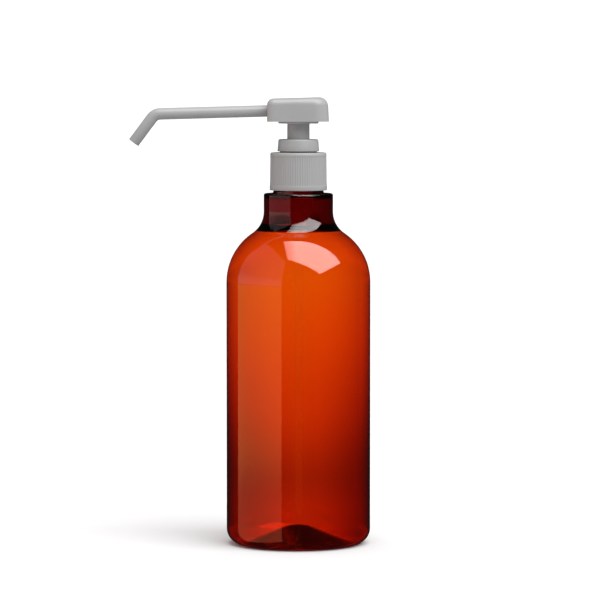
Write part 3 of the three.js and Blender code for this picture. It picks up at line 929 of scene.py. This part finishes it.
def bridge(faces, below, above):
    """Joins two rings by a band of faces."""
    for i in range(len(below)):
        j = (i + 1) % len(below)
        faces.append([below[i], below[j], above[j], above[i]])


def stitch(points, faces, rings, close=True):
    """Adds rings of points, joined by faces one to the next. Gives the first ring's points."""
    starts = []
    for ring in rings:
        starts.append([len(points) + i for i in range(len(ring))])
        points.extend(ring)
    for below, above in zip(starts, starts[1:]):
        bridge(faces, below, above)
    if close:
        faces.append(starts[-1])
    return starts[0]


def make_head(sizes, nozzle):
    """The shell, with the skirt and the stem's socket under its crown and the boss that holds the nozzle."""
    low = node_heights("pump_head")[0]
    skirt_drop = 1.2 * MM
    overlap = 0.1 * MM
    bottom = low + skirt_drop
    top = bottom + sizes.height
    points, faces = [], []
    outer = stitch(points, faces, head_rings(sizes, 0.0, bottom, top))
    inner = stitch(points, faces, head_rings(sizes, sizes.wall, bottom, top - sizes.wall))
    bridge(faces, outer, inner)
    piece = make_piece("pump_head_shell", points, faces, "satin_grey")
    roof = top - sizes.wall + overlap
    rounding = 0.2 * MM
    bore, outside = 10.9 * MM, 12.1 * MM
    skirt = rounded([(bore, low, rounding), (outside, low, rounding), (outside, roof, 0), (bore, roof, 0)])
    combine(piece, turned_piece("skirt", skirt, 96, "satin_grey"), "UNION")
    socket_bore = 6.9 * MM
    socket_wall = socket_bore + 1.5 * MM
    socket_bottom = low + 0.6 * MM
    socket_top = node_heights("stem")[1] + 0.2 * MM
    socket = rounded(
        [
            (socket_bore, socket_bottom, rounding),
            (socket_wall, socket_bottom, rounding),
            (socket_wall, roof, 0),
            (0.0, roof, 0),
            (0.0, socket_top, 0),
            (socket_bore, socket_top, 0),
        ]
    )
    combine(piece, turned_piece("socket", socket, 64, "satin_grey"), "UNION")
    boss_wall, clearance = 1.8 * MM, 0.12 * MM
    boss_start, boss_end = -sizes.nose + 0.6 * MM, -socket_wall + 0.5 * MM
    boss = nozzle_bar("boss", nozzle, nozzle.radius + boss_wall, boss_start, boss_end)
    combine(piece, boss, "UNION")
    hole_start, hole_end = -sizes.nose - 3 * MM, -socket_wall - 0.2 * MM
    hole = nozzle_bar("hole", nozzle, nozzle.radius + clearance, hole_start, hole_end)
    combine(piece, hole, "DIFFERENCE")
    fit(piece, "head", "grey_plastic", "pump_head")


# Nozzle


def nozzle_height(nozzle, x):
    """Height of the nozzle's centre line at x from the axis."""
    nose, rise = -18.8 * MM, 7.5 * MM
    start = node_heights("pump_head")[0] + rise
    return start + (x - nose) * math.tan(nozzle.droop)


def nozzle_bar(name, nozzle, radius, start, end):
    """A straight round bar along the first stretch of the nozzle's line."""
    stations = [Vector((x, 0.0, nozzle_height(nozzle, x))) for x in (start, end)]
    points, faces = [], []
    rings = [ring_at(station, nozzle.droop, radius, 48) for station in stations]
    first = stitch(points, faces, rings)
    faces.append(first)
    return make_piece(name, points, faces, "satin_grey")


def along(fall):
    """The direction of a line that falls at that angle towards -X."""
    return Vector((-math.cos(fall), 0.0, -math.sin(fall)))


def across(fall):
    """The direction straight up from such a line."""
    return Vector((-math.sin(fall), 0.0, math.cos(fall)))


def ring_at(centre, fall, radius, sides):
    """A ring of points across such a line."""
    ring = []
    for i in range(sides):
        angle = 2 * math.pi * i / sides
        up, aside = radius * math.cos(angle), radius * math.sin(angle)
        point = centre + across(fall) * up + Vector((0, aside, 0))
        ring.append((AXIS_X + point.x, point.y, point.z))
    return ring


def nozzle_stations(nozzle, start):
    """Centres and angles of fall along the nozzle's line, from inside the head to its tip."""
    corner = Vector((-nozzle.reach, 0.0, nozzle_height(nozzle, -nozzle.reach)))
    down = along(nozzle.leg_angle)
    setback = nozzle.bend * math.tan((nozzle.leg_angle - nozzle.droop) / 2)
    bend_start = corner - along(nozzle.droop) * setback
    centre = bend_start - across(nozzle.droop) * nozzle.bend
    stations = [(Vector((start, 0.0, nozzle_height(nozzle, start))), nozzle.droop)]
    bends = 14
    for i in range(bends + 1):
        fall = nozzle.droop + (nozzle.leg_angle - nozzle.droop) * i / bends
        stations.append((centre + across(fall) * nozzle.bend, fall))
    tip = corner + down * nozzle.leg_length
    return stations, tip, down


def make_nozzle(nozzle):
    """The bent tube, with its mouth's edge softened by a small lip."""
    sides = 64
    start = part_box("nozzle_tube")[1].x - AXIS_X
    stations, tip, down = nozzle_stations(nozzle, start)
    lip = 0.25 * MM
    outer = [(centre, fall, nozzle.radius) for centre, fall in stations]
    outer.append((tip - down * lip, nozzle.leg_angle, nozzle.radius))
    outer.append((tip - down * lip * 0.3, nozzle.leg_angle, nozzle.radius - lip * 0.3))
    outer.append((tip, nozzle.leg_angle, nozzle.radius - lip))
    inner = [(tip, nozzle.leg_angle, nozzle.bore + lip), (tip - down * lip, nozzle.leg_angle, nozzle.bore)]
    inner += [(centre, fall, nozzle.bore) for centre, fall in reversed(stations)]
    rings = [ring_at(centre, fall, radius, sides) for centre, fall, radius in outer + inner]
    points, faces = [], []
    first = stitch(points, faces, rings, close=False)
    last = [len(points) - sides + i for i in range(sides)]
    bridge(faces, last, first)
    piece = make_piece("bent_nozzle", points, faces, "satin_grey")
    fit(piece, "head", "grey_plastic", "nozzle_tube")


# Pieces inside the bottle


def make_dip_tube():
    """A clear tube with its lower end cut at 45 degrees, the tip towards +X."""
    low, high = node_heights("dip_tube")
    radius, bore = 2.6 * MM, 1.9 * MM
    sides = 48
    rings = []
    for ring_radius, cut in ((radius, True), (radius, False), (bore, False), (bore, True)):
        ring = []
        for i in range(sides):
            angle = 2 * math.pi * i / sides
            x, y = ring_radius * math.cos(angle), ring_radius * math.sin(angle)
            ring.append((AXIS_X + x, y, low + radius - x if cut else high))
        rings.append(ring)
    points, faces = [], []
    stitch(points, faces, rings + rings[:1], close=False)
    tube = make_piece("clear_dip_tube", points, faces, "milky_tube")
    fit(tube, "pump", "natural_plastic", "dip_tube")


def make_inner_pieces():
    """The dip tube, and the finishes of the CAD nodes that are shown as they are."""
    make_dip_tube()
    finishes = {
        "natural_polymer": ["pump_housing", "ball_cage", "piston_rod"],
        "soft_seal": ["neck_gasket", "piston"],
        "bright_steel": ["inlet_ball", "outlet_ball", "return_spring"],
    }
    for finish, names in finishes.items():
        for name in names:
            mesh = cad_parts[name].data
            mesh.materials.clear()
            mesh.materials.append(material(finish))


# Stage


def direction(azimuth, elevation):
    """A direction seen from the bottle. Azimuth 0 is towards the camera and 90 towards +X, in degrees."""
    a, e = math.radians(azimuth), math.radians(elevation)
    return Vector((math.sin(a) * math.cos(e), -math.cos(a) * math.cos(e), math.sin(e)))


def panel(graph, ray, corners, feather):
    """A mask that is 1 inside a four-cornered light panel, given by the directions of its corners."""
    spots = [direction(*corner) for corner in corners]
    middle = sum(spots, Vector())
    mask = None
    for first, second in zip(spots, spots[1:] + spots[:1]):
        side = first.cross(second).normalized()
        if side.dot(middle) < 0:
            side = -side
        edge = graph.smooth(graph.dot(ray, side), -feather, feather)
        mask = edge if mask is None else mask * edge
    return mask


def backlight(graph, ray, down):
    """Level of the lit sweep behind the bottle, by how far down and how far aside a ray goes in it.

    It falls off downwards and far up, and below the neck also to dark flags at the bottle's sides.
    """
    level = 1.06 - 0.15 * graph.smooth(down, 4.2, 6.2) - 0.44 * graph.smooth(down, 5.8, 7.3)
    level = level + 0.07 * graph.smooth(down, 7.04, 7.12) + 0.16 * graph.smooth(down, 7.1, 7.6)
    body_half_width = math.radians(1.187)
    aside = graph.dot(ray, (1 / body_half_width, 0, 0))
    aside = aside * aside
    near = aside / (aside + 0.9)
    low = graph.smooth(down, 4.6, 7.0)
    flag_end = 1.0 - graph.smooth(aside, 300.0, 2500.0)
    flags = (0.45 * near * near * (1.0 - low) + 0.8 * near * low) * flag_end
    rim = (0.3 + 0.4 * low) * graph.smooth(aside, 4.0, 40.0) * flag_end
    below_neck = graph.smooth(down, 2.9, 3.3)
    height = 0.1 + 0.9 * graph.smooth(down, -22.0, -6.0)
    return level * (1.0 - flags * below_neck) * (1.0 - rim * below_neck) * height


def make_world():
    """The studio, as each kind of ray meets it.

    The camera sees plain white. Reflections see a dark room, a large soft panel overhead, and a dim one to
    the left with an amber cast. What is seen through the bottle is the lit sweep behind it, and opaque
    pieces get a soft fill as well.
    """
    world = bpy.data.worlds.new("studio")
    world.use_nodes = True
    world.node_tree.nodes.clear()
    graph = Graph(world.node_tree)
    ray = graph.node("ShaderNodeTexCoord", output="Generated")
    down = graph.dot(ray, (0, 0, -math.degrees(1)))
    away = graph.dot(ray, (0, 1, 0))
    overhead = panel(graph, ray, [(-105, 74), (83, 30), (36, 19), (-23, 48)], 0.006)
    right = graph.dot(ray, (1, 0, 0))
    overhead = overhead * (0.45 + 0.55 * graph.smooth(right, -0.32, 0.0))
    left = panel(graph, ray, [(-113, -40), (-114, 55), (-25, 42), (-28.5, -40)], 0.006)
    kinds = ("Is Camera Ray", "Is Diffuse Ray", "Is Transmission Ray")
    camera, diffuse, through = [graph.node("ShaderNodeLightPath", output=kind) for kind in kinds]
    glossy = (1.0 - camera) * (1.0 - diffuse) * (1.0 - through)
    neck = graph.smooth(down, 2.2, 2.3) * (1.0 - graph.smooth(down, 2.8, 3.0))
    ruddy = left * neck * (1.0 - diffuse) * (1.0 - camera)
    warm = left * (1.0 - neck) * graph.smooth(down, -14.0, 3.0) * glossy
    studio = 0.012 + (6.0 + 0.5 * diffuse) * overhead + 0.33 * left + 0.79 * warm + 0.57 * ruddy
    behind = graph.smooth(away, 0.4, 0.5)
    seen_through = (studio + 0.3) * (1.0 - behind) + backlight(graph, ray, down) * behind
    fill = 0.32 + 1.25 * graph.smooth(away, -0.2, 0.4)
    fill = fill + 0.17 * graph.smooth(right, 0.0, 0.8) + 0.2 * (1.0 - graph.smooth(right, -0.9, -0.2))
    lit = studio + diffuse * fill
    level = lit * (1.0 - through) + seen_through * through
    level = level * (1.0 - camera) + 1.05 * camera
    amber = graph.mix(graph.smooth(down, 4.2, 5.8), (1.0, 0.64, 0.155, 1.0), (1.9, 0.6, 0.19, 1.0))
    amber = graph.mix(graph.smooth(down, 6.4, 7.3), amber, (1.2, 0.3, 0.15, 1.0))
    amber = graph.mix(graph.smooth(down, 2.0, 3.0), (1.0, 0.6, 0.5, 1.0), amber)
    tint = graph.mix(warm, grey(1.0), amber)
    tint = graph.mix(ruddy, tint, (1.0, 0.24, 0.26, 1.0))
    background = graph.node("ShaderNodeBackground", {}, {"Color": tint, "Strength": level})
    graph.node("ShaderNodeOutputWorld", {}, {"Surface": background})
    world.cycles.sampling_method = "MANUAL"
    world.cycles.sample_map_resolution = 2048
    bpy.context.scene.world = world


def make_disc(name, radius, middle, finish):
    """A flat round stage piece."""
    sides = 96
    points = [middle]
    for i in range(sides):
        turn = 2 * math.pi * i / sides
        points.append((middle[0] + radius * math.cos(turn), middle[1] + radius * math.sin(turn), middle[2]))
    faces = [(0, 1 + i, 1 + (i + 1) % sides) for i in range(sides)]
    mesh = bpy.data.meshes.new(name)
    mesh.from_pydata(points, [], faces)
    mesh.materials.append(material(finish))
    disc = add_object(name, mesh)
    return disc


def make_floor(sizes):
    """The pale floor, and under the bottle a near-black disc of painted shadow, which is seen only through
    the bottle.
    """
    floor = make_disc("floor", sizes.floor_radius, (AXIS_X, 0.0, 0.0), "pale_floor")
    floor.visible_glossy = False
    floor.visible_transmission = False
    # Painted shadow: a dark disc put where the bottle's own shade falls.
    radius, drop = 36 * MM, 0.05 * MM
    under = make_disc("floor_under_bottle", radius, (AXIS_X, 0.0, -drop), "painted_shadow_floor")
    under.visible_camera = False
    under.visible_glossy = False
    under.visible_diffuse = False


def make_camera(sizes):
    camera = bpy.data.cameras.new("camera")
    camera.sensor_width = SENSOR_WIDTH
    camera.lens = sizes.focal_pixels * SENSOR_WIDTH / PHOTO_SIZE
    camera.clip_end = 100
    aside = 0.97 * MM
    holder = add_object("camera", camera)
    holder.location = (AXIS_X + aside, -sizes.camera_distance, sizes.camera_height)
    holder.rotation_euler = (math.pi / 2 - sizes.camera_pitch, 0.0, 0.0)
    bpy.context.scene.camera = holder


# Operators


class PUMPBOTTLE_OT_bottle(bpy.types.Operator):
    """Makes the clear amber bottle"""

    bl_idname = "pumpbottle.bottle"
    bl_label = "Bottle"

    def execute(self, context):
        make_bottle(context.scene.bottle_sizes)
        return {"FINISHED"}


class PUMPBOTTLE_OT_threads(bpy.types.Operator):
    """Makes the screw threads of the bottle and of the closure"""

    bl_idname = "pumpbottle.threads"
    bl_label = "Threads"

    def execute(self, context):
        make_threads(context.scene.thread_sizes)
        return {"FINISHED"}


class PUMPBOTTLE_OT_closure(bpy.types.Operator):
    """Makes the ribbed screw closure"""

    bl_idname = "pumpbottle.closure"
    bl_label = "Screw closure"

    def execute(self, context):
        make_closure(context.scene.closure_sizes)
        return {"FINISHED"}


class PUMPBOTTLE_OT_collar(bpy.types.Operator):
    """Makes the collar on the closure and the stem that slides in it"""

    bl_idname = "pumpbottle.collar"
    bl_label = "Collar and stem"

    def execute(self, context):
        make_chaplet()
        make_stem()
        return {"FINISHED"}


class PUMPBOTTLE_OT_head(bpy.types.Operator):
    """Makes the oblong head"""

    bl_idname = "pumpbottle.head"
    bl_label = "Head"

    def execute(self, context):
        make_head(context.scene.head_sizes, context.scene.nozzle_sizes)
        return {"FINISHED"}


class PUMPBOTTLE_OT_nozzle(bpy.types.Operator):
    """Makes the long bent nozzle"""

    bl_idname = "pumpbottle.nozzle"
    bl_label = "Nozzle"

    def execute(self, context):
        make_nozzle(context.scene.nozzle_sizes)
        return {"FINISHED"}


class PUMPBOTTLE_OT_inner(bpy.types.Operator):
    """Makes the dip tube and dresses the pieces inside the pump"""

    bl_idname = "pumpbottle.inner"
    bl_label = "Inner pieces"

    def execute(self, context):
        make_inner_pieces()
        return {"FINISHED"}


class PUMPBOTTLE_OT_stage(bpy.types.Operator):
    """Makes the floor, the studio light and the camera"""

    bl_idname = "pumpbottle.stage"
    bl_label = "Stage"

    def execute(self, context):
        make_world()
        make_floor(context.scene.stage_sizes)
        make_camera(context.scene.stage_sizes)
        return {"FINISHED"}


class PUMPBOTTLE_PT_panel(bpy.types.Panel):
    """Lists what makes the pump bottle"""

    bl_idname = "PUMPBOTTLE_PT_panel"
    bl_label = "Pump Bottle"
    bl_space_type = "VIEW_3D"
    bl_region_type = "UI"
    bl_category = "Pump Bottle"

    def draw(self, context):
        for operator in OPERATORS:
            self.layout.operator(operator.bl_idname)
        for group in GROUPS:
            sizes = getattr(context.scene, group)
            box = self.layout.box()
            for name in sizes.__annotations__:
                box.prop(sizes, name)


OPERATORS = [
    PUMPBOTTLE_OT_bottle,
    PUMPBOTTLE_OT_threads,
    PUMPBOTTLE_OT_closure,
    PUMPBOTTLE_OT_collar,
    PUMPBOTTLE_OT_head,
    PUMPBOTTLE_OT_nozzle,
    PUMPBOTTLE_OT_inner,
    PUMPBOTTLE_OT_stage,
]
GROUPS = {
    "bottle_sizes": BottleSizes,
    "thread_sizes": ThreadSizes,
    "closure_sizes": ClosureSizes,
    "head_sizes": HeadSizes,
    "nozzle_sizes": NozzleSizes,
    "finish_colours": FinishColours,
    "stage_sizes": StageSizes,
}


def register():
    for name, group in GROUPS.items():
        bpy.utils.register_class(group)
        setattr(bpy.types.Scene, name, bpy.props.PointerProperty(type=group))
    for operator in OPERATORS:
        bpy.utils.register_class(operator)
    bpy.utils.register_class(PUMPBOTTLE_PT_panel)


def unregister():
    bpy.utils.unregister_class(PUMPBOTTLE_PT_panel)
    for operator in reversed(OPERATORS):
        bpy.utils.unregister_class(operator)
    for name, group in reversed(GROUPS.items()):
        delattr(bpy.types.Scene, name)
        bpy.utils.unregister_class(group)


def main():
    register()
    bpy.context.scene.view_settings.view_transform = "Standard"
    bpy.ops.pumpbottle.bottle()
    bpy.ops.pumpbottle.threads()
    bpy.ops.pumpbottle.closure()
    bpy.ops.pumpbottle.collar()
    bpy.ops.pumpbottle.head()
    bpy.ops.pumpbottle.nozzle()
    bpy.ops.pumpbottle.inner()
    bpy.ops.pumpbottle.stage()


if __name__ == "__main__":
    main()
